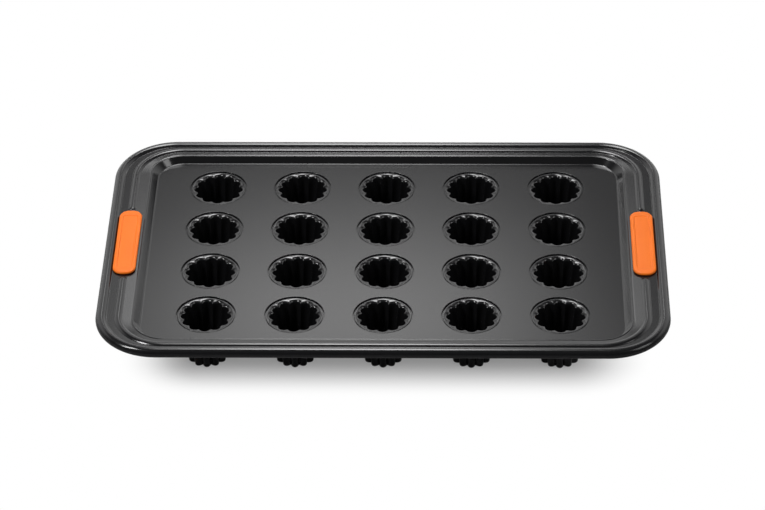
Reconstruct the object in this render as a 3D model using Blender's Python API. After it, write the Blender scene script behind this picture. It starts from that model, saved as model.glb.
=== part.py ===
"""Mini canele pan: a pressed steel tray with twenty fluted cups and two silicone grips.

The origin is under the middle of the pan, on the surface it stands on. +X runs along the
long side, +Y to the back, +Z up. Every length is in metres.
"""

from math import asin, cos, hypot, pi, radians, sin

import bmesh
import bpy
from mathutils import Vector

# Sheets, and the air gap left between two pieces that touch
TRAY_SHEET = 0.0006
CUP_SHEET = 0.0006
GAP = 0.0003

# Cup: a fluted wall with a rolled lip, and a seat outside the lip
CUP_DEPTH = 0.0366
FLUTES = 12
LOBE_SHARE = 0.47
MOUTH_RADIUS = 0.0174
MOUTH_FLUTE_DEPTH = 0.0018
BASE_RADIUS = 0.0140
BASE_FLUTE_DEPTH = 0.0027
LIP_WIDTH = 0.0014
LIP_ROLL = 0.0005
LIP_SLOPE = 0.0010
LIP_HEIGHT = 0.0019
SEAT_WIDTH = 0.0009
FOLD_CLEARANCE = 0.0006

# Collar that turns down and narrows round each hole of the deck
COLLAR_INSET = 0.0006
COLLAR_DEPTH = 0.0018

# Deck: the flat sheet that holds the cups
CUP_COLUMNS = 5
CUP_ROWS = 4
COLUMN_WEB = 0.0194
ROW_WEB = 0.0084
DECK_END_MARGIN = 0.0240
DECK_SIDE_MARGIN = 0.0101
DECK_CORNER = 0.0185

# Grips: a pad above the flange, a web through its slot and a pad below
GRIP_LENGTH = 0.0755
GRIP_WIDTH = 0.0164
GRIP_THICKNESS = 0.0020
GRIP_CHAMFER = 0.0008
GRIP_END_FLAT = 0.0021
GRIP_INNER_MARGIN = 0.0013
GRIP_OUTER_MARGIN = 0.0002
WEB_INSET = 0.0046
LOWER_PAD_INSET = 0.0018
LOWER_PAD_THICKNESS = 0.0020

# Rim: a sloped wall with a soft crest, a flange, a raised rib and a rolled bead
END_WALL_RUN = 0.0047
SIDE_WALL_RUN = 0.0028
CREST_RUN = 0.0012
FLANGE_RISE = 0.0054
CREST_DROP = 0.0002
FLANGE_DISH = 0.0004
RIB_HEIGHT = 0.0012
RIB_HALF_WIDTH = 0.0028
RIB_SHOULDER_SHARE = 0.85
RIB_FADE = 0.0022
RIB_TO_GRIP = 0.0026
SIDE_INNER_FLAT = 0.0030
SIDE_OUTER_FLAT = 0.0002

# Bead: a wide round crest, then a tighter curl round the wire
BEAD_RADIUS = 0.0040
BEAD_DROP = 0.0020
CURL_RADIUS = 0.00265
CURL_END_ANGLE = radians(-150)

# How much the corner's radius grows from the deck to the crest, the rib and the bead
CREST_CORNER_GROWTH = 0.0040
RIB_CORNER_GROWTH = 0.0115
BEAD_CORNER_GROWTH = 0.0060

# How finely the round shapes are cut
CORNER_STEPS = 7
CREST_STEPS = 5
CURL_STEPS = 5
HOLE_POINTS = 20
WIRE_POINTS = 6
GRIP_CORNER_STEPS = 5
SHARP_ANGLE = radians(35)

# Colours, with roughness and metallic
COATED_STEEL = ("coated_steel", (0.045, 0.046, 0.050), 0.45, 0.6)
WIRE_STEEL = ("wire_steel", (0.42, 0.42, 0.43), 0.35, 1.0)
SILICONE = ("orange_silicone", (0.95, 0.24, 0.035), 0.5, 0.0)

# Radii outwards from the cup's axis
LIP_RADIUS = MOUTH_RADIUS + LIP_WIDTH
SEAT_RADIUS = LIP_RADIUS + LIP_SLOPE
COLLAR_RADIUS = SEAT_RADIUS + SEAT_WIDTH
HOLE_RADIUS = COLLAR_RADIUS + COLLAR_INSET

# The pattern of holes sets the deck, and the deck sets the rim
COLUMN_PITCH = 2 * HOLE_RADIUS + COLUMN_WEB
ROW_PITCH = 2 * HOLE_RADIUS + ROW_WEB
DECK_HALF_X = COLUMN_PITCH * (CUP_COLUMNS - 1) / 2 + HOLE_RADIUS + DECK_END_MARGIN
DECK_HALF_Y = ROW_PITCH * (CUP_ROWS - 1) / 2 + HOLE_RADIUS + DECK_SIDE_MARGIN
DECK_Z = CUP_DEPTH
FLANGE_Z = DECK_Z + FLANGE_RISE
BEAD_Z = FLANGE_Z - BEAD_DROP

# Distances outwards from the deck's edge, on the short ends and on the long sides
END_FLANGE = END_WALL_RUN + CREST_RUN
SIDE_FLANGE = SIDE_WALL_RUN + CREST_RUN
END_RIB = END_FLANGE + GRIP_INNER_MARGIN + GRIP_WIDTH / 2
SIDE_RIB = SIDE_FLANGE + SIDE_INNER_FLAT + RIB_HALF_WIDTH
BEAD_START_ANGLE = pi - asin(BEAD_DROP / BEAD_RADIUS)
BEAD_REACH = -BEAD_RADIUS * cos(BEAD_START_ANGLE)
CURL_SHIFT = BEAD_RADIUS - CURL_RADIUS
END_BEAD = END_RIB + GRIP_WIDTH / 2 + GRIP_OUTER_MARGIN + BEAD_REACH
SIDE_BEAD = SIDE_RIB + RIB_HALF_WIDTH + SIDE_OUTER_FLAT + BEAD_REACH

# The rib's section: each distance from its middle, and the share of its height there
RIB_SECTION = (
    (-RIB_HALF_WIDTH, 0.0),
    (-RIB_HALF_WIDTH / 2, RIB_SHOULDER_SHARE),
    (0.0, 1.0),
    (RIB_HALF_WIDTH / 2, RIB_SHOULDER_SHARE),
    (RIB_HALF_WIDTH, 0.0),
)

SIDES = (("left", -1), ("right", 1))

# Corner radii of the rim's lines
CREST_CORNER = DECK_CORNER + CREST_CORNER_GROWTH
RIB_CORNER = CREST_CORNER + RIB_CORNER_GROWTH
BEAD_CORNER = RIB_CORNER + BEAD_CORNER_GROWTH


def material(name, color, roughness, metallic):
    """Return the named Principled material, made on first use."""
    made = bpy.data.materials.get(name)
    if made:
        return made
    made = bpy.data.materials.new(name)
    made.use_nodes = True
    shader = made.node_tree.nodes["Principled BSDF"]
    shader.inputs["Base Color"].default_value = (*color, 1.0)
    shader.inputs["Roughness"].default_value = roughness
    shader.inputs["Metallic"].default_value = metallic
    made.diffuse_color = (*color, 1.0)
    return made


def mesh_from(bm, name, finish):
    """Turn a bmesh into a mesh with its material and smooth round faces."""
    mesh = bpy.data.meshes.new(name)
    bm.to_mesh(mesh)
    bm.free()
    mesh.materials.append(material(*finish))
    mesh.shade_smooth()
    mesh.set_sharp_from_angle(angle=SHARP_ANGLE)
    return mesh


def place(name, mesh, parent, location=(0.0, 0.0, 0.0)):
    """Add one named piece under its parent."""
    piece = bpy.data.objects.new(name, mesh)
    piece.parent = parent
    piece.location = location
    bpy.context.scene.collection.objects.link(piece)
    return piece


def add_loop(bm, points):
    """Add the points of a closed loop as vertices."""
    return [bm.verts.new(point) for point in points]


def join_loops(bm, first, second):
    """Fill the band between two closed loops that start at the same angle.

    The loops may have different counts of points. When both run anticlockwise
    and the second is above the first, the faces look outwards.
    """
    i = j = 0
    while i < len(first) or j < len(second):
        first_ahead = (i + 1) * len(second)
        second_ahead = (j + 1) * len(first)
        next_i = i + 1 if first_ahead <= second_ahead else i
        next_j = j + 1 if second_ahead <= first_ahead else j
        corners = [first[i % len(first)], first[next_i % len(first)]]
        corners += [second[next_j % len(second)], second[j % len(second)]]
        bm.faces.new(dict.fromkeys(corners))
        i, j = next_i, next_j


def circle(radius, z, count):
    """Points of a round loop, anticlockwise from +X."""
    steps = [2 * pi * k / count for k in range(count)]
    return [Vector((radius * cos(a), radius * sin(a), z)) for a in steps]


def rounded_box(half_x, half_y, corner, z, corner_steps, stops=()):
    """Points of a rounded rectangle, anticlockwise from the right side's middle.

    The stops are distances from the middle of each short side that get a point
    of their own, so that a rib can end there.
    """
    points = []
    quarters = ((1, 1), (-1, 1), (-1, -1), (1, -1))
    for number, (side_x, side_y) in enumerate(quarters):
        rising = number in (0, 2)
        short_side = [Vector((side_x * half_x, side_y * stop, z)) for stop in sorted(stops)]
        arc = []
        for step in range(corner_steps + 1):
            angle = pi / 2 * (number + step / corner_steps)
            center_x = side_x * (half_x - corner)
            center_y = side_y * (half_y - corner)
            arc.append(Vector((center_x + corner * cos(angle), center_y + corner * sin(angle), z)))
        points += short_side + arc if rising else arc + short_side[::-1]
    return points


def bead_section():
    """Points of the bead's section, from the flange over the crest and round its curl.

    Each point has its distance outwards from the crest and its height above the bead's middle.
    """
    points = []
    for step in range(CREST_STEPS):
        angle = BEAD_START_ANGLE * (1 - step / CREST_STEPS)
        points.append((BEAD_RADIUS * cos(angle), BEAD_RADIUS * sin(angle)))
    for step in range(CURL_STEPS + 1):
        angle = CURL_END_ANGLE * step / CURL_STEPS
        points.append((CURL_SHIFT + CURL_RADIUS * cos(angle), CURL_RADIUS * sin(angle)))
    return points


def rim_profile():
    """The rim's section, from the deck's edge outwards.

    Each row has the distance outwards on the short ends and on the long sides,
    the height above the deck, the corner's radius, and the share of the rib's height.
    """
    crest_rise = FLANGE_RISE - CREST_DROP
    inner_rise = FLANGE_RISE - FLANGE_DISH
    rows = [
        (0.0, 0.0, 0.0, DECK_CORNER, 0.0),
        (END_WALL_RUN, SIDE_WALL_RUN, crest_rise, CREST_CORNER, 0.0),
        (END_FLANGE, SIDE_FLANGE, inner_rise, CREST_CORNER + CREST_RUN, 0.0),
    ]
    for out, share in RIB_SECTION:
        rows.append((END_RIB + out, SIDE_RIB + out, FLANGE_RISE, RIB_CORNER + out, share))
    for out, up in bead_section():
        rise = BEAD_Z - DECK_Z + up
        rows.append((END_BEAD + out, SIDE_BEAD + out, rise, BEAD_CORNER + out, 0.0))
    return rows


def rib_end():
    """Distance from the middle of a short side to where its ribs start."""
    return GRIP_LENGTH / 2 + RIB_TO_GRIP


def raise_rib(points, height):
    """Lift one line of the rib, with a soft end next to each grip."""
    for point in points:
        share = (abs(point.y) - rib_end()) / RIB_FADE
        point.z += height * min(max(share, 0.0), 1.0)


def cup_places():
    """Row number, column number and centre of each cup, from the back left."""
    for row in range(CUP_ROWS):
        for column in range(CUP_COLUMNS):
            x = COLUMN_PITCH * (column - (CUP_COLUMNS - 1) / 2)
            y = ROW_PITCH * ((CUP_ROWS - 1) / 2 - row)
            yield row + 1, column + 1, x, y


def tray_mesh():
    """The top surface of the tray. A modifier gives it the sheet's thickness."""
    bm = bmesh.new()
    stops = (rib_end(), rib_end() + RIB_FADE)
    loops = []
    for end, side, rise, corner, rib_share in rim_profile():
        half_x = DECK_HALF_X + end
        half_y = DECK_HALF_Y + side
        points = rounded_box(half_x, half_y, corner, DECK_Z + rise, CORNER_STEPS, stops)
        raise_rib(points, RIB_HEIGHT * rib_share)
        loops.append(add_loop(bm, points))
    for inner, outer in zip(loops, loops[1:]):
        join_loops(bm, outer, inner)
    mouths = []
    for _, _, x, y in cup_places():
        center = Vector((x, y, DECK_Z))
        mouth = add_loop(bm, [center + p for p in circle(HOLE_RADIUS, 0.0, HOLE_POINTS)])
        end = add_loop(bm, [center + p for p in circle(COLLAR_RADIUS, -COLLAR_DEPTH, HOLE_POINTS)])
        join_loops(bm, mouth, end)
        mouths.append(mouth)
    border = []
    for loop in [loops[0], *mouths]:
        border += [bm.edges.get((a, b)) for a, b in zip(loop, loop[1:] + loop[:1])]
    bmesh.ops.triangle_fill(bm, use_beauty=True, edges=border, normal=(0.0, 0.0, 1.0))
    return mesh_from(bm, "tray", COATED_STEEL)


def slot_mesh():
    """The cutter of a grip's slot, which clears the grip's web all round."""
    bm = bmesh.new()
    outlines = []
    for z in (-TRAY_SHEET - GAP, GAP):
        outlines.append(grip_outline(WEB_INSET - GAP, z))
    solid_of_loops(bm, outlines)
    return mesh_from(bm, "slot", COATED_STEEL)


def add_tray(parent):
    """The tray, with its sheet's thickness and a slot for each grip."""
    tray = place("tray", tray_mesh(), parent)
    sheet = tray.modifiers.new("sheet", "SOLIDIFY")
    sheet.thickness = TRAY_SHEET
    sheet.offset = -1.0
    sheet.use_even_offset = True
    sheet.use_quality_normals = True
    slot = slot_mesh()
    for name, side in SIDES:
        cutter = place(f"{name}_slot_cutter", slot, parent, grip_place(side))
        cutter.hide_render = True
        cutter.display_type = "WIRE"
        cut = tray.modifiers.new(f"{name}_slot", "BOOLEAN")
        cut.operation = "DIFFERENCE"
        cut.solver = "EXACT"
        cut.object = cutter


def solid_of_loops(bm, loops):
    """A closed body through a stack of loops, listed from the bottom up."""
    rings = [add_loop(bm, points) for points in loops]
    for low, high in zip(rings, rings[1:]):
        join_loops(bm, low, high)
    bm.faces.new(rings[0][::-1])
    bm.faces.new(rings[-1])


def rim_wire_mesh():
    """The wire that the bead is rolled round."""
    bm = bmesh.new()
    flat_to_middle = cos(CURL_END_ANGLE / CURL_STEPS / 2)
    radius = (CURL_RADIUS - TRAY_SHEET) * flat_to_middle - GAP
    rings = []
    for step in range(WIRE_POINTS):
        angle = 2 * pi * step / WIRE_POINTS
        out = CURL_SHIFT + radius * cos(angle)
        half_x = DECK_HALF_X + END_BEAD + out
        half_y = DECK_HALF_Y + SIDE_BEAD + out
        z = BEAD_Z + radius * sin(angle)
        rings.append(add_loop(bm, rounded_box(half_x, half_y, BEAD_CORNER + out, z, CORNER_STEPS)))
    for low, high in zip(rings, rings[1:] + rings[:1]):
        join_loops(bm, low, high)
    return mesh_from(bm, "rim_wire", WIRE_STEEL)


def fluted_loop(radius, flute_depth, z):
    """Points round a fluted wall: a flat-topped lobe and a narrow valley in turn."""
    points = []
    pitch = 2 * pi / FLUTES
    half_lobe = LOBE_SHARE * pitch / 2
    for flute in range(FLUTES):
        middle = pitch * flute
        stations = (
            (middle + half_lobe, radius),
            (middle + pitch / 2, radius - flute_depth),
            (middle + pitch - half_lobe, radius),
        )
        points += [Vector((r * cos(a), r * sin(a), z)) for a, r in stations]
    return points


def cup_mesh():
    """One fluted cup. Its origin is at the deck's top surface, on the cup's axis.

    The seat lies under the collar's tip, and its outer edge is folded up round the collar.
    """
    collar_length = hypot(COLLAR_INSET, COLLAR_DEPTH)
    collar_tip_drop = TRAY_SHEET * COLLAR_INSET / collar_length
    collar_wall = TRAY_SHEET * collar_length / COLLAR_DEPTH
    seat_z = -COLLAR_DEPTH - collar_tip_drop - GAP
    under_z = seat_z - CUP_SHEET
    lip_z = seat_z + LIP_HEIGHT
    mouth_z = lip_z - LIP_ROLL
    floor_z = -CUP_DEPTH + CUP_SHEET
    fold_z = -TRAY_SHEET - FOLD_CLEARANCE
    collar_at_fold = HOLE_RADIUS + COLLAR_INSET * fold_z / COLLAR_DEPTH
    fold_inner = collar_at_fold + collar_wall + GAP
    fold_outer = fold_inner + CUP_SHEET
    taper = (MOUTH_RADIUS + CUP_SHEET - BASE_RADIUS) / (CUP_DEPTH + mouth_z)
    under_radius = BASE_RADIUS + taper * (CUP_DEPTH + under_z)
    floor_radius = BASE_RADIUS - CUP_SHEET + taper * CUP_SHEET
    bm = bmesh.new()
    solid_of_loops(
        bm,
        [
            fluted_loop(BASE_RADIUS, BASE_FLUTE_DEPTH, -CUP_DEPTH),
            fluted_loop(under_radius, MOUTH_FLUTE_DEPTH, under_z),
            circle(fold_outer, under_z, HOLE_POINTS),
            circle(fold_outer, fold_z, HOLE_POINTS),
            circle(fold_inner, fold_z, HOLE_POINTS),
            circle(fold_inner, seat_z, HOLE_POINTS),
            circle(SEAT_RADIUS, seat_z, HOLE_POINTS),
            circle(LIP_RADIUS, lip_z, HOLE_POINTS),
            fluted_loop(MOUTH_RADIUS, MOUTH_FLUTE_DEPTH, mouth_z),
            fluted_loop(floor_radius, BASE_FLUTE_DEPTH, floor_z),
        ],
    )
    return mesh_from(bm, "cup", COATED_STEEL)


def grip_place(side):
    """Centre of a grip's slot, on the flange's top surface."""
    return (side * (DECK_HALF_X + END_RIB), 0.0, FLANGE_Z)


def grip_outline(inset, z):
    """Outline of a grip's layer, set in from the grip's full size."""
    half_width = GRIP_WIDTH / 2 - inset
    half_length = GRIP_LENGTH / 2 - inset
    corner = half_width - GRIP_END_FLAT / 2
    return rounded_box(half_width, half_length, corner, z, GRIP_CORNER_STEPS)


def grip_mesh():
    """One grip. Its origin is on the flange's top surface, at the middle of the slot."""
    top = GAP + GRIP_THICKNESS
    under = -TRAY_SHEET - GAP
    bm = bmesh.new()
    solid_of_loops(
        bm,
        [
            grip_outline(LOWER_PAD_INSET, under - LOWER_PAD_THICKNESS),
            grip_outline(LOWER_PAD_INSET, under),
            grip_outline(WEB_INSET, under),
            grip_outline(WEB_INSET, GAP),
            grip_outline(0.0, GAP),
            grip_outline(0.0, top - GRIP_CHAMFER),
            grip_outline(GRIP_CHAMFER, top),
        ],
    )
    return mesh_from(bm, "grip", SILICONE)


def main():
    for old in list(bpy.data.objects):
        bpy.data.objects.remove(old)
    pan = bpy.data.objects.new("pan", None)
    bpy.context.scene.collection.objects.link(pan)
    add_tray(pan)
    place("rim_wire", rim_wire_mesh(), pan)
    cup = cup_mesh()
    for row, column, x, y in cup_places():
        place(f"cup_row{row}_col{column}", cup, pan, (x, y, DECK_Z))
    grip = grip_mesh()
    for name, side in SIDES:
        place(f"{name}_grip", grip, pan, grip_place(side))
    bpy.context.view_layer.update()


main()
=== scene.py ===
"""Looks of the mini canele pan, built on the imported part.

A pressed tray with a sunk deck carries twenty fluted cups, each folded into its own hole.
The tray's rim has a raised rib and is rolled over a wire. Each short side has a silicone grip.
"""

from math import ceil, cos, hypot, pi, radians, sin, tan

import bmesh
import bpy
import numpy as np
from mathutils import Matrix, Vector


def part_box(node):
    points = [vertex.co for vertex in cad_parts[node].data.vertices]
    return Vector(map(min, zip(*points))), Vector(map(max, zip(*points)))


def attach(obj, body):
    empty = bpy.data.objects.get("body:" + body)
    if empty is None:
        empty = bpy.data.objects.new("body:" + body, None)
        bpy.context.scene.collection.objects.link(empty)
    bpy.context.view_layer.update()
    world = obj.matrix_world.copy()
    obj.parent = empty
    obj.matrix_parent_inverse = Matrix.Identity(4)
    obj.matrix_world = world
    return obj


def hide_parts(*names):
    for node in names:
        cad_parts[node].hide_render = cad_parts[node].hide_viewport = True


MM = 0.001

# Sheets, and the air gap between two pieces that touch
TRAY_SHEET = 0.6 * MM
CUP_SHEET = 0.6 * MM
GAP = 0.3 * MM

# Roundings: the turn of one step, and how far past a rounding its flat is held, as a share of it
ARC_STEP = radians(9)
EDGE_HOLD = 0.08
SHARP_ANGLE = radians(50)

# The rim's section along a short side: distance out from the deck's edge, height, rounding
RIM_CORNERS = (
    (-3.0 * MM, 0.0, 0.0),
    (0.0, 0.0, 1.3 * MM),
    (4.75 * MM, 5.35 * MM, 1.1 * MM),
    (5.8 * MM, 4.85 * MM, 0.5 * MM),
    (6.7 * MM, 4.97 * MM, 0.4 * MM),
    (12.6 * MM, 5.35 * MM, 4.0 * MM),
    (23.8 * MM, 5.4 * MM, 0.4 * MM),
)

# Bead: a wide round crest, then a tighter curl round the wire. Turns are in degrees.
BEAD_OUT = 27.264 * MM
BEAD_UP = 3.4 * MM
BEAD_RADIUS = 4.0 * MM
BEAD_TURNS = (146, 0)
BEAD_STEPS = 18
CURL_RADIUS = 2.65 * MM
CURL_TURNS = (0, -150)
CURL_STEPS = 16

# The outer side of the bead is duller, a painted shade that makes it reflect less and render darker:
# where that begins and is full, from the bead's middle
SKIRT_START = 2.0 * MM
SKIRT_FULL = 3.6 * MM

# Lines of the section: distance out on a short side and on a long side, and the corner's radius
SECTION_OUT = [out * MM for out in (-3.0, 0.0, 4.7, 5.9, 12.6, 18.2, 23.8, 33.8)]
SIDE_OUT = [out * MM for out in (-3.0, -0.4, 2.4, 3.5, 6.8, 12.4, 12.8, 22.8)]
CORNER_RADIUS = [radius * MM for radius in (15.5, 18.5, 22.5, 23.7, 30.7, 36.3, 36.8, 47.2)]
CORNER_STEPS = 22

# Rib: a raised line along the middle of the flange, with a round end before each grip
RIB_OUT = 15.4 * MM
RIB_HEIGHT = 1.25 * MM
RIB_HALF_WIDTH = 2.75 * MM
RIB_FULLNESS = 2.5
RIB_TO_GRIP = 2.6 * MM
RIB_STEP = 0.28 * MM

# Between rib and bead the sheet stays a little higher on the long sides, and slopes up to the bead
HELD_UP = 5.4 * MM
HELD_RISE = 0.125 * MM
HELD_SLOPE_START = 23.4 * MM
HELD_END = 25.5 * MM
HELD_SLOPE = 0.5
LONG_SIDE_START = 0.72

# Edge of each hole in the deck: distance from the cup's axis, height, rounding
HOLE_CORNERS = (
    (22.0 * MM, 0.0, 0.0),
    (20.98 * MM, 0.0, 0.25 * MM),
    (20.95 * MM, -1.0 * MM, 0.0),
)
HOLE_POINTS = 72

# Cup: radii are of the sheet's inside, and heights go down from the deck's upper face
CUP_DEPTH = 36.6 * MM
BASE_RADIUS = 13.8 * MM
BASE_ROUNDING = 1.6 * MM
MOUTH_RADIUS = 17.5 * MM
MOUTH_DROP = 0.5 * MM
MOUTH_ROUNDING = 2.1 * MM
FOOT_ROUNDING = 2.0 * MM

# The middle of the cup's foot is pressed up
DENT_RADIUS = 4.2 * MM
DENT_SLOPE = 1.2 * MM
DENT_HEIGHT = 0.5 * MM
DENT_ROUNDING = 1.0 * MM
DENT_SHEET = 0.4 * MM

# The cup's lip steps down under the edge of the hole, and folds up outside it
LIP_EDGE = 20.0 * MM
LIP_FALL = 0.1 * MM
STEP_RUN = 0.05 * MM
STEP_ROUNDING = 0.15 * MM
SEAT_DROP = 1.3 * MM
FOLD_RADIUS = 21.85 * MM
FOLD_DROP = 0.95 * MM
FOLD_ROUNDINGS = (0.1 * MM, 0.25 * MM, 0.5 * MM)
NECK_SHEET = 0.65 * MM
NECK_ROUNDING = 0.8 * MM

# Flutes: their depth at the mouth and at the base, and the radii between which they show
FLUTES = 12
FLUTE_STEPS = 16
RIDGE_ROUNDNESS = 0.02
LOBE_FULLNESS = 0.8
MOUTH_FLUTE = 2.2 * MM
BASE_FLUTE = 2.7 * MM
FLUTE_START = 6.0 * MM
FLUTE_FULL = 10.5 * MM
FLUTE_FADE = 17.3 * MM
FLUTE_END = 19.6 * MM
MERGE_DISTANCE = 0.002 * MM

# Wire in the rolled edge
WIRE_SIDES = 14
WIRE_CORNER_STEPS = 16

# Grips: insets are from the widest outline
GRIP_END_FLAT = 2.1 * MM
PAD_THICKNESS = 2.0 * MM
PAD_EDGE_INSET = 0.3 * MM
WEB_INSET = 4.6 * MM
LOWER_PAD_INSET = 1.8 * MM
LOWER_PAD_BEVEL = 0.2 * MM
LOWER_PAD_SIDE = 0.3 * MM
PANEL_INSET = 2.9 * MM
PANEL_END = 6.2 * MM
PANEL_CORNER = 1.8 * MM
PANEL_LEAST_CORNER = 0.4 * MM
GRIP_CORNER_STEPS = 10

# Rounded edges of the lower pad: inset, and height over its underside
LOWER_EDGE = (
    (2.6 * MM, 0.0),
    (2.1 * MM, 0.15 * MM),
    (1.8 * MM, 0.6 * MM),
)

# Rounded edges of the upper pad: inset, and depth under its top
UPPER_EDGE = (
    (0.08 * MM, 1.8 * MM),
    (0.0, 1.5 * MM),
    (0.0, 1.1 * MM),
    (0.12 * MM, 0.7 * MM),
    (0.4 * MM, 0.35 * MM),
    (0.8 * MM, 0.14 * MM),
    (1.3 * MM, 0.03 * MM),
)

# Groove and sunk panel of the upper pad: reach beyond the panel's outline, and depth under the top
PANEL_EDGE = (
    (0.6 * MM, 0.0),
    (0.2 * MM, 0.04 * MM),
    (0.05 * MM, 0.15 * MM),
    (-0.1 * MM, 0.45 * MM),
    (-0.35 * MM, 0.52 * MM),
    (-0.9 * MM, 0.5 * MM),
    (-2.2 * MM, 0.42 * MM),
    (-4.2 * MM, 0.38 * MM),
)

# Floor, and the shadow on it: full inside this box, and white past the fade. The pan's real shadow
# shows inside the box; the floor's glow, low there and rising to full white past the fade, is a
# painted shadow.
FLOOR_HALF = 4.0
FLOOR_DROP = 0.05 * MM
SHADOW_HALF_X = 0.130
SHADOW_HALF_Y = 0.080
SHADOW_FADE = 0.045
SHADOW_SIDE_SCALE = 0.75
SHADOW_GLOW = 0.24

# Light round the pan for what it reflects: low behind, high behind, and in front
BACK_LEVEL = 1.4
TOP_LEVEL = 0.15
FRONT_LEVEL = 0.12
SOFT_LEVEL = 0.25
BACK_TO_TOP = (0.62, 0.72)
FRONT_TO_BACK = (-0.1, 0.45)

# Camera: its target over the pan's middle, its turns, its distance, and where the target lies in view
CAMERA_TARGET = (0.0, 0.0, 38.0 * MM)
CAMERA_TURN = 1.58
CAMERA_TILT = 36.5
CAMERA_ROLL = -0.81
CAMERA_DISTANCE = 2.4242
CAMERA_AIM = (1.72 * MM, 4.79 * MM)
CAMERA_LENS = 159.0
CAMERA_REACH = 50.0

# Lights: name, place, the way it faces, half sizes, strength, and fades as cloth_material takes them
LIGHTS = (
    (
        "light_over", (-0.07, 0.60, 1.25), (0.0, 0.0, -1.0), 0.27, 0.45, 14.5,
        (("X", -0.07, 0.05, 0.27),),
    ),
    (
        "light_far", (-0.09, 1.70, 1.25), (0.0, 0.0, -1.0), 0.45, 0.30, 5.0,
        (("X", -0.09, 0.04, 0.45), ("Y", 1.37, 0.03, 0.50)),
    ),
    ("light_left", (-0.95, -0.45, 1.10), (0.95, 0.45, -1.10), 0.11, 0.32, 34.0, ()),
    ("light_right", (1.20, -0.50, 0.80), (-1.20, 0.50, -0.80), 0.32, 0.34, 5.0, ()),
)


class Signal:
    """A node's output. Arithmetic on it adds Math nodes to the same tree."""

    def __init__(self, patch, socket):
        self.patch = patch
        self.socket = socket

    def __getitem__(self, name):
        return Signal(self.patch, self.socket.node.outputs[name])

    def __add__(self, other):
        return self.patch.math("ADD", self, other)

    def __radd__(self, other):
        return self.patch.math("ADD", other, self)

    def __sub__(self, other):
        return self.patch.math("SUBTRACT", self, other)

    def __rsub__(self, other):
        return self.patch.math("SUBTRACT", other, self)

    def __mul__(self, other):
        return self.patch.math("MULTIPLY", self, other)

    def __rmul__(self, other):
        return self.patch.math("MULTIPLY", other, self)

    def __truediv__(self, other):
        return self.patch.math("DIVIDE", self, other)

    def __pow__(self, other):
        return self.patch.math("POWER", self, other)

    def ramp(self, low, high, start=0.0, end=1.0):
        """Move smoothly from start to end while this value goes from low to high."""
        settings = {"interpolation_type": "SMOOTHSTEP"}
        values = {"Value": self, "From Min": low, "From Max": high, "To Min": start, "To Max": end}
        return self.patch.node("ShaderNodeMapRange", settings, values)


class Patch:
    """A node tree that is filled from Python."""

    def __init__(self, tree):
        self.tree = tree

    def node(self, kind, settings=None, values=()):
        """Add a node, and return its first output."""
        made = self.tree.nodes.new(kind)
        for name, value in (settings or {}).items():
            setattr(made, name, value)
        named = values.items() if isinstance(values, dict) else enumerate(values)
        for name, value in named:
            self.feed(made.inputs[name], value)
        return Signal(self, made.outputs[0]) if made.outputs else made

    def feed(self, socket, value):
        """Link a socket, or give it a plain value."""
        if isinstance(value, Signal):
            self.tree.links.new(value.socket, socket)
        else:
            socket.default_value = value

    def math(self, operation, *values):
        """Work out one step of arithmetic."""
        return self.node("ShaderNodeMath", {"operation": operation}, values)

    def mix(self, factor, first, second):
        """Blend two colours."""
        made = self.tree.nodes.new("ShaderNodeMix")
        made.data_type = "RGBA"
        color_sockets = [s for s in made.inputs if s.type == "RGBA"]
        self.feed(made.inputs["Factor"], factor)
        self.feed(color_sockets[0], first)
        self.feed(color_sockets[1], second)
        return Signal(self, next(s for s in made.outputs if s.type == "RGBA"))

    def noise(self, scale, detail):
        """Cloudy noise fixed to the object."""
        place = self.node("ShaderNodeTexCoord")["Object"]
        return self.node(
            "ShaderNodeTexNoise", None, {"Vector": place, "Scale": scale, "Detail": detail}
        )

    def sample(self, geometry, data_type, value, index):
        """Read a value at one point of a geometry."""
        made = self.tree.nodes.new("GeometryNodeSampleIndex")
        made.data_type = data_type
        made.domain = "POINT"
        value_socket = next(s for s in made.inputs if s.name == "Value" and s.enabled)
        self.feed(made.inputs["Geometry"], geometry)
        self.feed(value_socket, value)
        self.feed(made.inputs["Index"], index)
        return Signal(self, next(s for s in made.outputs if s.enabled))


def new_material(name):
    """An empty material and the patch of its nodes."""
    material = bpy.data.materials.new(name)
    material.use_nodes = True
    material.node_tree.nodes.clear()
    return material, Patch(material.node_tree)


def surface(patch, values):
    """End a material in the shader with these values."""
    shader = patch.node("ShaderNodeBsdfPrincipled", None, values)
    patch.node("ShaderNodeOutputMaterial", None, {"Surface": shader})


def coated_steel():
    """Satin charcoal non-stick coating, less glossy under the rolled edge, where a thinner coat
    paints shade on the bead's outer side.
    """
    material, patch = new_material("coated_steel")
    cloud = patch.noise(18.0, 3.0)
    peel = patch.noise(420.0, 2.0)
    grain = patch.noise(2600.0, 2.0)
    # Painted shade: the skirt mask thins the coat and roughens the bead's outer side, so it reflects
    # less and renders darker.
    skirt = patch.node("ShaderNodeAttribute", {"attribute_name": "skirt"})["Fac"]
    height = 0.4 * peel + 0.25 * grain
    bump = patch.node(
        "ShaderNodeBump", None, {"Strength": 0.06, "Distance": 0.05 * MM, "Height": height}
    )
    values = {
        "Base Color": patch.mix(cloud, (0.004, 0.004, 0.0045, 1.0), (0.007, 0.007, 0.0075, 1.0)),
        "Roughness": 0.23 + 0.05 * (cloud - 0.5) + 0.06 * (grain - 0.5) + 0.2 * skirt,
        "IOR": 1.12,
        "Coat Weight": 1.0 - 0.9 * skirt,
        "Coat Roughness": 0.16,
        "Coat IOR": 1.45,
        "Normal": bump,
    }
    surface(patch, values)
    return material


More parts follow.
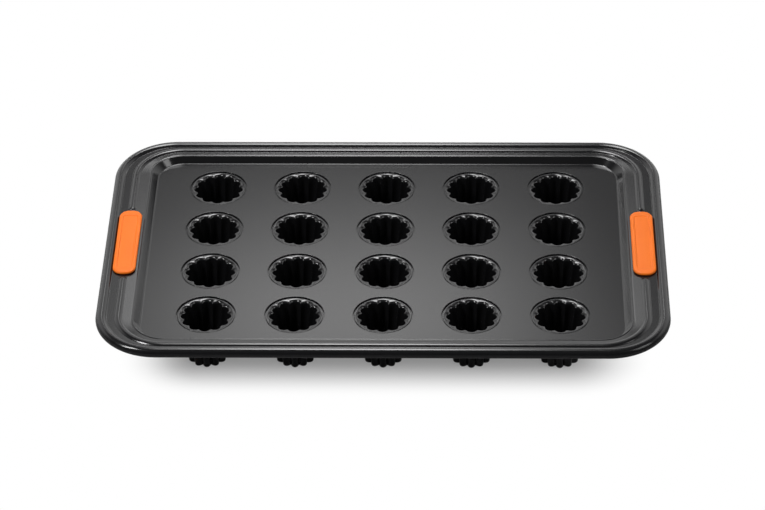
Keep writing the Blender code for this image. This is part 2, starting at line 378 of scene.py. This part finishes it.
def wire_steel():
    """Drawn steel wire with a fine grain."""
    material, patch = new_material("wire_steel")
    cloud = patch.noise(60.0, 3.0)
    grain = patch.noise(1800.0, 2.0)
    bump = patch.node(
        "ShaderNodeBump", None, {"Strength": 0.3, "Distance": 0.02 * MM, "Height": grain}
    )
    values = {
        "Base Color": patch.mix(cloud, (0.40, 0.40, 0.41, 1.0), (0.52, 0.52, 0.52, 1.0)),
        "Roughness": 0.3 + 0.15 * grain,
        "Metallic": 1.0,
        "Normal": bump,
    }
    surface(patch, values)
    return material


def orange_silicone():
    """Satin orange silicone with a fine moulded texture."""
    material, patch = new_material("orange_silicone")
    cloud = patch.noise(45.0, 3.0)
    grain = patch.noise(2200.0, 2.0)
    bump = patch.node(
        "ShaderNodeBump", None, {"Strength": 0.15, "Distance": 0.04 * MM, "Height": grain}
    )
    values = {
        "Base Color": patch.mix(cloud, (0.70, 0.131, 0.003, 1.0), (0.74, 0.149, 0.005, 1.0)),
        "Roughness": 0.5 + 0.1 * (grain - 0.5),
        "IOR": 1.36,
        "Normal": bump,
    }
    surface(patch, values)
    return material


def smooth_step(value, low, high):
    """Rise smoothly from 0 to 1 while the value goes from low to high."""
    share = min(max((value - low) / (high - low), 0.0), 1.0)
    return share * share * (3 - 2 * share)


def softened(corners):
    """Points of a path through rows of (out, up, rounding), with its corners rounded."""
    points = [Vector(corners[0][:2])]
    for before, corner, after in zip(corners, corners[1:], corners[2:]):
        middle = Vector(corner[:2])
        rounding = corner[2]
        back = (Vector(before[:2]) - middle).normalized()
        ahead = (Vector(after[:2]) - middle).normalized()
        half = back.angle(ahead) / 2
        turn = pi - 2 * half
        center = middle + (back + ahead).normalized() * rounding / sin(half)
        start = middle + back * rounding / tan(half) - center
        way = 1 if back.x * ahead.y - back.y * ahead.x < 0 else -1
        steps = max(2, ceil(turn / ARC_STEP))
        bend = [center + Matrix.Rotation(way * turn * k / steps, 2) @ start for k in range(steps + 1)]
        hold = EDGE_HOLD * rounding
        points += [bend[0] + back * hold, *bend, bend[-1] + ahead * hold]
    points.append(Vector(corners[-1][:2]))
    return points


def arc(center_out, center_up, radius, turns, steps):
    """Points of an arc between two angles in degrees."""
    first, last = (radians(turn) for turn in turns)
    angles = [first + (last - first) * step / steps for step in range(steps + 1)]
    return [Vector((center_out + radius * cos(a), center_up + radius * sin(a))) for a in angles]


def split_between(points, low, high, step):
    """Add points to a path where its steps are long, between two distances out."""
    path = [points[0]]
    for point in points[1:]:
        last = path[-1]
        parts = 1
        if low < point.x and last.x < high:
            parts = ceil((point - last).length / step)
        path += [last.lerp(point, part / parts) for part in range(1, parts + 1)]
    return path


def with_points_at(points, stops):
    """Add the points where a path crosses given distances out."""
    path = [points[0]]
    for point in points[1:]:
        last = path[-1]
        for stop in stops:
            if last.x < stop < point.x:
                path.append(last.lerp(point, (stop - last.x) / (point.x - last.x)))
        path.append(point)
    return path


def rounded_box(half_x, half_y, corner, z, corner_steps, stops=()):
    """Points of a rounded rectangle, anticlockwise from the right side's middle."""
    points = []
    quarters = ((1, 1), (-1, 1), (-1, -1), (1, -1))
    for number, (side_x, side_y) in enumerate(quarters):
        rising = number in (0, 2)
        short_side = [Vector((side_x * half_x, side_y * stop, z)) for stop in sorted(stops)]
        bend = []
        for step in range(corner_steps + 1):
            angle = pi / 2 * (number + step / corner_steps)
            center_x = side_x * (half_x - corner)
            center_y = side_y * (half_y - corner)
            bend.append(Vector((center_x + corner * cos(angle), center_y + corner * sin(angle), z)))
        points += short_side + bend if rising else bend + short_side[::-1]
    return points


def add_loop(bm, points):
    """Add the points of a closed loop as vertices."""
    return [bm.verts.new(point) for point in points]


def join_loops(bm, first, second):
    """Fill the band between two closed loops with the same count of points.

    When both run anticlockwise and the second is above the first, it faces outwards.
    """
    for k in range(len(first)):
        n = (k + 1) % len(first)
        bm.faces.new((first[k], first[n], second[n], second[k]))


def piece_from(bm, name, material):
    """A new object from a bmesh."""
    mesh = bpy.data.meshes.new(name)
    bm.to_mesh(mesh)
    bm.free()
    mesh.materials.append(material)
    piece = bpy.data.objects.new(name, mesh)
    bpy.context.scene.collection.objects.link(piece)
    return piece


def make_plain(piece):
    """Turn a piece's modifiers into its plain mesh."""
    bpy.context.view_layer.update()
    evaluated = piece.evaluated_get(bpy.context.evaluated_depsgraph_get())
    mesh = bpy.data.meshes.new_from_object(evaluated)
    mesh.name = piece.name
    piece.modifiers.clear()
    piece.data = mesh


def finish_piece(piece, node):
    """Smooth a piece and let it stand for its node."""
    piece.data.shade_smooth()
    piece.data.set_sharp_from_angle(angle=SHARP_ANGLE)
    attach(piece, "root")
    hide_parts(node)


def box_halves(node):
    """Half sizes along X and Y of a node's box."""
    low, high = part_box(node)
    return (high.x - low.x) / 2, (high.y - low.y) / 2


def side_out(out):
    """Where a line of the rim's section lies on a long side, from its place on a short side."""
    return float(np.interp(out, SECTION_OUT, SIDE_OUT))


def corner_radius(out):
    """The corner's radius of a line of the rim's section."""
    return float(np.interp(out, SECTION_OUT, CORNER_RADIUS))


def deck_height():
    """Height of the deck's upper face."""
    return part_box("tray")[1].z - BEAD_UP - BEAD_RADIUS


def deck_halves():
    """Half sizes of the deck, up to the foot of its wall."""
    half_x, half_y = box_halves("tray")
    return half_x - BEAD_OUT - BEAD_RADIUS, half_y - side_out(BEAD_OUT) - BEAD_RADIUS


def slot_halves():
    """Half sizes of the slot that a grip's web passes through."""
    half_x, half_y = box_halves("left_grip")
    return half_x - WEB_INSET + GAP, half_y - WEB_INSET + GAP


def rim_path():
    """The rim's section without its rib, as points of (distance out, height)."""
    bead = arc(BEAD_OUT, BEAD_UP, BEAD_RADIUS, BEAD_TURNS, BEAD_STEPS)
    curl_out = BEAD_OUT + BEAD_RADIUS - CURL_RADIUS
    curl = arc(curl_out, BEAD_UP, CURL_RADIUS, CURL_TURNS, CURL_STEPS)
    slot_x, _ = slot_halves()
    flat = softened([*RIM_CORNERS, (*bead[0], 0.0)])
    flat = split_between(flat, RIB_OUT - RIB_HALF_WIDTH, RIB_OUT + RIB_HALF_WIDTH, RIB_STEP)
    flat = with_points_at(flat, (RIB_OUT - slot_x, RIB_OUT + slot_x))
    return flat + bead[1:] + curl[1:]


def rib_rise(out, along, rib_start):
    """Height of the rib at a distance out and a distance along from a short side's middle."""
    to_line = hypot(out - RIB_OUT, max(rib_start - along, 0.0))
    return RIB_HEIGHT * max(0.0, 1.0 - (to_line / RIB_HALF_WIDTH) ** RIB_FULLNESS)


def held_up(out, along, half_y):
    """The least height of the sheet between rib and bead."""
    if not RIB_OUT < out < HELD_END:
        return 0.0
    share = smooth_step(along, LONG_SIDE_START * half_y, half_y)
    rise = HELD_RISE + max(0.0, out - HELD_SLOPE_START) * HELD_SLOPE
    return HELD_UP + share * rise


def skirt_painted_shade_share(out, up):
    """How far a point of the rim's path belongs to the dull side of the bead, which carries painted
    shade, from 0 to 1.
    """
    if out <= RIB_OUT:
        return 0.0
    if up < BEAD_UP:
        return 1.0
    return smooth_step(out - BEAD_OUT, SKIRT_START, SKIRT_FULL)


def add_rim(bm, half_x, half_y, deck_z):
    """Carry the rim's section round the deck, and return the loop at the deck's border."""
    _, grip_y = box_halves("left_grip")
    _, slot_y = slot_halves()
    rib_start = grip_y + RIB_TO_GRIP + RIB_HALF_WIDTH
    end_steps = ceil(RIB_HALF_WIDTH / RIB_STEP) + 2
    stops = [slot_y] + [rib_start - RIB_STEP * k for k in range(end_steps)]
    # The skirt layer marks the bead's outer side, where the coating paints shade.
    skirt = bm.verts.layers.float.new("skirt")
    loops = []
    for out, up in rim_path():
        box = (half_x + out, half_y + side_out(out), corner_radius(out), deck_z + up)
        points = rounded_box(*box, CORNER_STEPS, stops)
        for point in points:
            along = abs(point.y)
            raised = point.z + rib_rise(out, along, rib_start)
            point.z = max(raised, deck_z + held_up(out, along, half_y))
        loop = add_loop(bm, points)
        for vert in loop:
            vert[skirt] = skirt_painted_shade_share(out, up)
        loops.append(loop)
    for inner, outer in zip(loops, loops[1:]):
        join_loops(bm, outer, inner)
    return loops[0]


def cut_slots(bm, half_x):
    """Open the flange where each grip passes through it."""
    slot_x, slot_y = slot_halves()
    slot = []
    for face in bm.faces:
        middle = face.calc_center_median()
        off = abs(abs(middle.x) - half_x - RIB_OUT)
        if off < slot_x and abs(middle.y) < slot_y:
            slot.append(face)
    bmesh.ops.delete(bm, geom=slot, context="FACES")


def add_hole(bm, center):
    """Add the turned-down edge of one hole, and return its loop in the deck."""
    angles = [2 * pi * k / HOLE_POINTS for k in range(HOLE_POINTS)]
    rings = []
    for out, up in softened(HOLE_CORNERS):
        ring = [center + Vector((out * cos(a), out * sin(a), up)) for a in angles]
        rings.append(add_loop(bm, ring))
    for outer, inner in zip(rings, rings[1:]):
        join_loops(bm, outer, inner)
    return rings[0]


def fill_deck(bm, borders):
    """Fill the deck between its outer border and its holes."""
    edges = []
    for loop in borders:
        edges += [bm.edges.get((a, b)) for a, b in zip(loop, loop[1:] + loop[:1])]
    bmesh.ops.triangle_fill(bm, use_beauty=True, edges=edges, normal=(0.0, 0.0, 1.0))


def tray_piece(centers, material):
    """The whole tray: deck with its holes, wall, flange with its rib and slots, and bead."""
    half_x, half_y = deck_halves()
    bm = bmesh.new()
    border = add_rim(bm, half_x, half_y, deck_height())
    cut_slots(bm, half_x)
    fill_deck(bm, [border] + [add_hole(bm, center) for center in centers])
    piece = piece_from(bm, "tray_pressing", material)
    sheet = piece.modifiers.new("sheet", "SOLIDIFY")
    sheet.thickness = TRAY_SHEET
    sheet.offset = -1.0
    sheet.use_even_offset = True
    sheet.use_quality_normals = True
    make_plain(piece)
    finish_piece(piece, "tray")


def cup_corners():
    """Corners of the cup's closed section: inside from the axis to the fold, and back outside."""
    floor_up = CUP_SHEET - CUP_DEPTH
    dent_end = DENT_RADIUS + DENT_SLOPE
    fold_out = FOLD_RADIUS + CUP_SHEET
    lip_under = -SEAT_DROP - CUP_SHEET
    fold_inner, fold_outer, fold_under = FOLD_ROUNDINGS
    inside = [
        (0.0, floor_up + DENT_HEIGHT, 0.0),
        (DENT_RADIUS, floor_up + DENT_HEIGHT, DENT_ROUNDING),
        (dent_end, floor_up, DENT_ROUNDING),
        (BASE_RADIUS, floor_up, BASE_ROUNDING),
        (MOUTH_RADIUS, -MOUTH_DROP, MOUTH_ROUNDING),
        (LIP_EDGE, -MOUTH_DROP - LIP_FALL, STEP_ROUNDING),
        (LIP_EDGE + STEP_RUN, -SEAT_DROP, STEP_ROUNDING),
        (FOLD_RADIUS, -SEAT_DROP, STEP_ROUNDING),
        (FOLD_RADIUS, -FOLD_DROP, fold_inner),
    ]
    outside = [
        (fold_out, -FOLD_DROP, fold_outer),
        (fold_out, lip_under, fold_under),
        (MOUTH_RADIUS + NECK_SHEET, lip_under, NECK_ROUNDING),
        (BASE_RADIUS + CUP_SHEET, -CUP_DEPTH, FOOT_ROUNDING),
        (dent_end + DENT_SHEET, -CUP_DEPTH, DENT_ROUNDING),
        (DENT_RADIUS + DENT_SHEET, DENT_HEIGHT - CUP_DEPTH, DENT_ROUNDING),
        (0.0, DENT_HEIGHT - CUP_DEPTH, 0.0),
    ]
    return inside + outside


def cup_section():
    """The cup's section as rows of (radius, height, flute depth)."""
    rows = []
    for out, up in softened(cup_corners()):
        share_up = min(max((up + CUP_DEPTH) / (CUP_DEPTH - CUP_SHEET), 0.0), 1.0)
        depth = BASE_FLUTE + (MOUTH_FLUTE - BASE_FLUTE) * share_up
        begun = smooth_step(out, FLUTE_START, FLUTE_FULL)
        left = 1.0 - smooth_step(out, FLUTE_FADE, FLUTE_END)
        rows.append((out, up, depth * begun * left))
    return rows


def lobe_bulge(patch, given, angle):
    """How far out the fluted wall bulges at an angle: 0 on a ridge and 1 in a lobe's middle."""
    half_power = given["Lobe Fullness"] / 2
    round_off = given["Ridge Roundness"]
    wave = patch.math("COSINE", angle * given["Flutes"] / 2)
    least = round_off**half_power
    most = (1.0 + round_off) ** half_power
    return ((wave * wave + round_off) ** half_power - least) / (most - least)


def add_cup_inputs(tree):
    """Name what the cup's tree takes in, and what it gives."""
    inputs = {
        "Section": "NodeSocketGeometry",
        "Flutes": "NodeSocketFloat",
        "Ridge Roundness": "NodeSocketFloat",
        "Lobe Fullness": "NodeSocketFloat",
        "Steps Around": "NodeSocketInt",
        "Axis Place": "NodeSocketVector",
    }
    for name, kind in inputs.items():
        tree.interface.new_socket(name, in_out="INPUT", socket_type=kind)
    tree.interface.new_socket("Cup", in_out="OUTPUT", socket_type="NodeSocketGeometry")


def cup_tree(material):
    """A tree that turns a section about an axis and presses flutes into it."""
    tree = bpy.data.node_groups.new("fluted_cup", "GeometryNodeTree")
    add_cup_inputs(tree)
    patch = Patch(tree)
    given = patch.node("NodeGroupInput")
    section = given["Section"]
    around = given["Steps Around"]
    size = patch.node("GeometryNodeAttributeDomainSize", {"component": "MESH"}, [section])
    rows = size["Point Count"]
    grid = patch.node("GeometryNodeMeshGrid", None, {"Vertices X": around + 1.0, "Vertices Y": rows})
    index = patch.node("GeometryNodeInputIndex")
    column = patch.math("FLOOR", (index + 0.5) / rows)
    row = index - column * rows
    angle = column * (2 * pi) / around
    spot = patch.node("GeometryNodeInputPosition")
    spot = patch.sample(section, "FLOAT_VECTOR", spot, row)
    parts = patch.node("ShaderNodeSeparateXYZ", None, [spot])
    depth = patch.node("GeometryNodeInputNamedAttribute", {"data_type": "FLOAT"}, {"Name": "flute"})
    depth = patch.sample(section, "FLOAT", depth, row)
    radius = parts["X"] - depth * (1.0 - lobe_bulge(patch, given, angle))
    x = radius * patch.math("COSINE", angle)
    y = radius * patch.math("SINE", angle)
    there = patch.node("ShaderNodeCombineXYZ", None, {"X": x, "Y": y, "Z": parts["Z"]})
    there = patch.node("ShaderNodeVectorMath", {"operation": "ADD"}, [there, given["Axis Place"]])
    shaped = patch.node("GeometryNodeSetPosition", None, {"Geometry": grid, "Position": there})
    closed = {"Geometry": shaped, "Distance": MERGE_DISTANCE}
    merged = patch.node("GeometryNodeMergeByDistance", None, closed)
    real = patch.node("GeometryNodeRealizeInstances", None, [merged])
    coated = patch.node("GeometryNodeSetMaterial", None, {"Geometry": real, "Material": material})
    patch.node("NodeGroupOutput", None, [coated])
    return tree


def cup_piece(tree, rows, node, place):
    """One fluted cup from its section."""
    name = node + "_drawn"
    mesh = bpy.data.meshes.new(name)
    edges = [(k, k + 1) for k in range(len(rows) - 1)]
    mesh.from_pydata([(out, 0.0, up) for out, up, _ in rows], edges, [])
    flute = mesh.attributes.new("flute", "FLOAT", "POINT")
    flute.data.foreach_set("value", [depth for _, _, depth in rows])
    piece = bpy.data.objects.new(name, mesh)
    bpy.context.scene.collection.objects.link(piece)
    modifier = piece.modifiers.new("flutes", "NODES")
    modifier.node_group = tree
    inputs = {
        "Flutes": float(FLUTES),
        "Ridge Roundness": RIDGE_ROUNDNESS,
        "Lobe Fullness": LOBE_FULLNESS,
        "Steps Around": FLUTES * FLUTE_STEPS,
        "Axis Place": place,
    }
    for item in tree.interface.items_tree:
        if item.name in inputs:
            modifier[item.identifier] = inputs[item.name]
    make_plain(piece)
    finish_piece(piece, node)


def wire_piece(material):
    """The wire inside the rolled edge."""
    half_x, half_y = box_halves("tray")
    radius = CURL_RADIUS - TRAY_SHEET - GAP
    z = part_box("tray")[1].z - BEAD_RADIUS
    corner = corner_radius(BEAD_OUT + BEAD_RADIUS - CURL_RADIUS)
    bm = bmesh.new()
    rings = []
    for step in range(WIRE_SIDES):
        angle = 2 * pi * step / WIRE_SIDES
        out = radius * cos(angle)
        box = (half_x - CURL_RADIUS + out, half_y - CURL_RADIUS + out, corner + out)
        points = rounded_box(*box, z + radius * sin(angle), WIRE_CORNER_STEPS)
        rings.append(add_loop(bm, points))
    for first, second in zip(rings, rings[1:] + rings[:1]):
        join_loops(bm, first, second)
    piece = piece_from(bm, "rim_wire_round", material)
    finish_piece(piece, "rim_wire")


def grip_rows(half_x, half_y, bottom, top):
    """Outlines of a grip from its underside to its panel: half sizes, corner radius, height."""
    corner = half_x - GRIP_END_FLAT / 2
    pad_under = top - PAD_THICKNESS
    web_foot = pad_under - 2 * GAP - TRAY_SHEET
    insets = [(inset, bottom + up) for inset, up in LOWER_EDGE]
    insets += [
        (LOWER_PAD_INSET, web_foot - LOWER_PAD_SIDE),
        (LOWER_PAD_INSET + LOWER_PAD_BEVEL, web_foot),
        (WEB_INSET, web_foot),
        (WEB_INSET, pad_under),
        (PAD_EDGE_INSET, pad_under),
    ]
    insets += [(inset, top - drop) for inset, drop in UPPER_EDGE]
    rows = [(half_x - inset, half_y - inset, corner - inset, z) for inset, z in insets]
    for reach, drop in PANEL_EDGE:
        bend = max(PANEL_CORNER + reach, PANEL_LEAST_CORNER)
        rows.append((half_x - PANEL_INSET + reach, half_y - PANEL_END + reach, bend, top - drop))
    return rows


def grip_piece(node, material):
    """One silicone grip, with a raised border round its sunk panel."""
    low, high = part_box(node)
    half_x, half_y = box_halves(node)
    center = Vector(((low.x + high.x) / 2, (low.y + high.y) / 2, 0.0))
    bm = bmesh.new()
    rings = []
    for row in grip_rows(half_x, half_y, low.z, high.z):
        points = rounded_box(*row, GRIP_CORNER_STEPS)
        rings.append(add_loop(bm, [point + center for point in points]))
    for first, second in zip(rings, rings[1:]):
        join_loops(bm, first, second)
    bm.faces.new(rings[0][::-1])
    bm.faces.new(rings[-1])
    piece = piece_from(bm, node + "_pad", material)
    finish_piece(piece, node)


def plane(name, center, facing, half_x, half_y, material):
    """A flat stage piece with its front towards a direction."""
    mesh = bpy.data.meshes.new(name)
    turn = Vector(facing).to_track_quat("Z", "Y").to_matrix()
    corners = [(-half_x, -half_y), (half_x, -half_y), (half_x, half_y), (-half_x, half_y)]
    points = [Vector(center) + turn @ Vector((x, y, 0.0)) for x, y in corners]
    mesh.from_pydata(points, [], [(0, 1, 2, 3)])
    mesh.materials.append(material)
    piece = bpy.data.objects.new(name, mesh)
    bpy.context.scene.collection.objects.link(piece)
    return piece


def beyond(value, half):
    """How far a coordinate lies beyond plus or minus half."""
    patch = value.patch
    return patch.math("MAXIMUM", patch.math("ABSOLUTE", value) - half, 0.0)


def floor_material():
    """A pale floor that keeps the pan's real shadow near it and is white away from it, with a painted
    shadow: its glow is held low in a box round the pan.
    """
    material, patch = new_material("floor")
    place = patch.node("ShaderNodeTexCoord")["Object"]
    parts = patch.node("ShaderNodeSeparateXYZ", None, [place])
    out_x = beyond(parts["X"], SHADOW_HALF_X) * SHADOW_SIDE_SCALE
    out_y = beyond(parts["Y"], SHADOW_HALF_Y)
    away = (out_x * out_x + out_y * out_y) ** 0.5
    # Painted shadow: the floor's glow share is SHADOW_GLOW inside a box round the pan and fades up to
    # full white past it.
    white = away.ramp(0.0, SHADOW_FADE, SHADOW_GLOW, 1.0)
    diffuse = patch.node("ShaderNodeBsdfDiffuse", None, {"Color": (0.86, 0.86, 0.86, 1.0)})
    glow = patch.node("ShaderNodeEmission", None, {"Color": (1.0, 1.0, 1.0, 1.0), "Strength": 1.0})
    seen = patch.node("ShaderNodeLightPath")["Is Camera Ray"]
    lit = patch.node("ShaderNodeMixShader", None, [white * seen, diffuse, glow])
    clear = patch.node("ShaderNodeBsdfTransparent")
    back = patch.node("ShaderNodeNewGeometry")["Backfacing"]
    shader = patch.node("ShaderNodeMixShader", None, [back, lit, clear])
    patch.node("ShaderNodeOutputMaterial", None, {"Surface": shader})
    return material


def cloth_material(name, strength, fades):
    """Light cloth. Each fade names an axis, a middle, and where the light is full and gone."""
    material, patch = new_material(name)
    place = patch.node("ShaderNodeTexCoord")["Object"]
    parts = patch.node("ShaderNodeSeparateXYZ", None, [place])
    power = strength
    for axis, middle, full, gone in fades:
        power = beyond(parts[axis] - middle, 0.0).ramp(full, gone, 1.0, 0.0) * power
    glow = patch.node("ShaderNodeEmission", None, {"Strength": power})
    patch.node("ShaderNodeOutputMaterial", None, {"Surface": glow})
    return material


def add_floor_and_lights():
    """The pale floor, and soft lights that the camera doesn't see."""
    up = (0.0, 0.0, 1.0)
    plane("floor", (0.0, 0.0, -FLOOR_DROP), up, FLOOR_HALF, FLOOR_HALF, floor_material())
    for name, center, facing, half_x, half_y, strength, fades in LIGHTS:
        material = cloth_material(name, strength, fades)
        cloth = plane(name, center, facing, half_x, half_y, material)
        cloth.visible_camera = False


def add_world():
    """White background for the rays that show it, and a plain soft light for the rest."""
    world = bpy.data.worlds.new("studio")
    world.use_nodes = True
    world.node_tree.nodes.clear()
    patch = Patch(world.node_tree)
    way = patch.node("ShaderNodeTexCoord")["Generated"]
    parts = patch.node("ShaderNodeSeparateXYZ", None, [way])
    path = patch.node("ShaderNodeLightPath")
    behind = parts["Z"].ramp(*BACK_TO_TOP, BACK_LEVEL, TOP_LEVEL)
    share = parts["Y"].ramp(*FRONT_TO_BACK)
    backdrop = share * behind + (1.0 - share) * FRONT_LEVEL
    seen = path["Is Camera Ray"]
    glossy = path["Is Glossy Ray"]
    strength = seen + (1.0 - seen) * (glossy * backdrop + (1.0 - glossy) * SOFT_LEVEL)
    sky = patch.node("ShaderNodeBackground", None, {"Strength": strength})
    patch.node("ShaderNodeOutputWorld", None, {"Surface": sky})
    bpy.context.scene.world = world


def add_camera():
    """The camera at the photograph's angle, framed so that its target keeps its place in view."""
    data = bpy.data.cameras.new("camera")
    data.lens = CAMERA_LENS
    data.clip_end = CAMERA_REACH
    camera = bpy.data.objects.new("camera", data)
    turn = Matrix.Rotation(radians(CAMERA_TURN), 3, "Z")
    turn = turn @ Matrix.Rotation(radians(90 - CAMERA_TILT), 3, "X")
    turn = turn @ Matrix.Rotation(radians(CAMERA_ROLL), 3, "Z")
    aim_x, aim_y = CAMERA_AIM
    place = Vector(CAMERA_TARGET) + turn @ Vector((-aim_x, -aim_y, CAMERA_DISTANCE))
    camera.matrix_world = Matrix.Translation(place) @ turn.to_4x4()
    bpy.context.scene.collection.objects.link(camera)
    bpy.context.scene.camera = camera


def dress_pan(nodes):
    """Put a finished piece in the place of each node."""
    steel = coated_steel()
    silicone = orange_silicone()
    cup_nodes = sorted(name for name in nodes if name.startswith("cup_"))
    centers = []
    for node in cup_nodes:
        low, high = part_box(node)
        centers.append(Vector(((low.x + high.x) / 2, (low.y + high.y) / 2, deck_height())))
    tray_piece(centers, steel)
    tree = cup_tree(steel)
    rows = cup_section()
    for node, center in zip(cup_nodes, centers):
        cup_piece(tree, rows, node, center)
    wire_piece(wire_steel())
    grip_piece("left_grip", silicone)
    grip_piece("right_grip", silicone)


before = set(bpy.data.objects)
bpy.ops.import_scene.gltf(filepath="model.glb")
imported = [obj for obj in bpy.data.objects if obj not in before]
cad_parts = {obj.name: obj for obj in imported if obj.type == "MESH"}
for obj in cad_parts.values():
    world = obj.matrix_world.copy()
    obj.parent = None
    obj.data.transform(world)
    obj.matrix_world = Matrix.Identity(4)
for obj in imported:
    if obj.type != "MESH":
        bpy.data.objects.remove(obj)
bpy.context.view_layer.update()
dress_pan(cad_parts)
add_floor_and_lights()
add_world()
add_camera()
bpy.context.scene.view_settings.view_transform = "Standard"
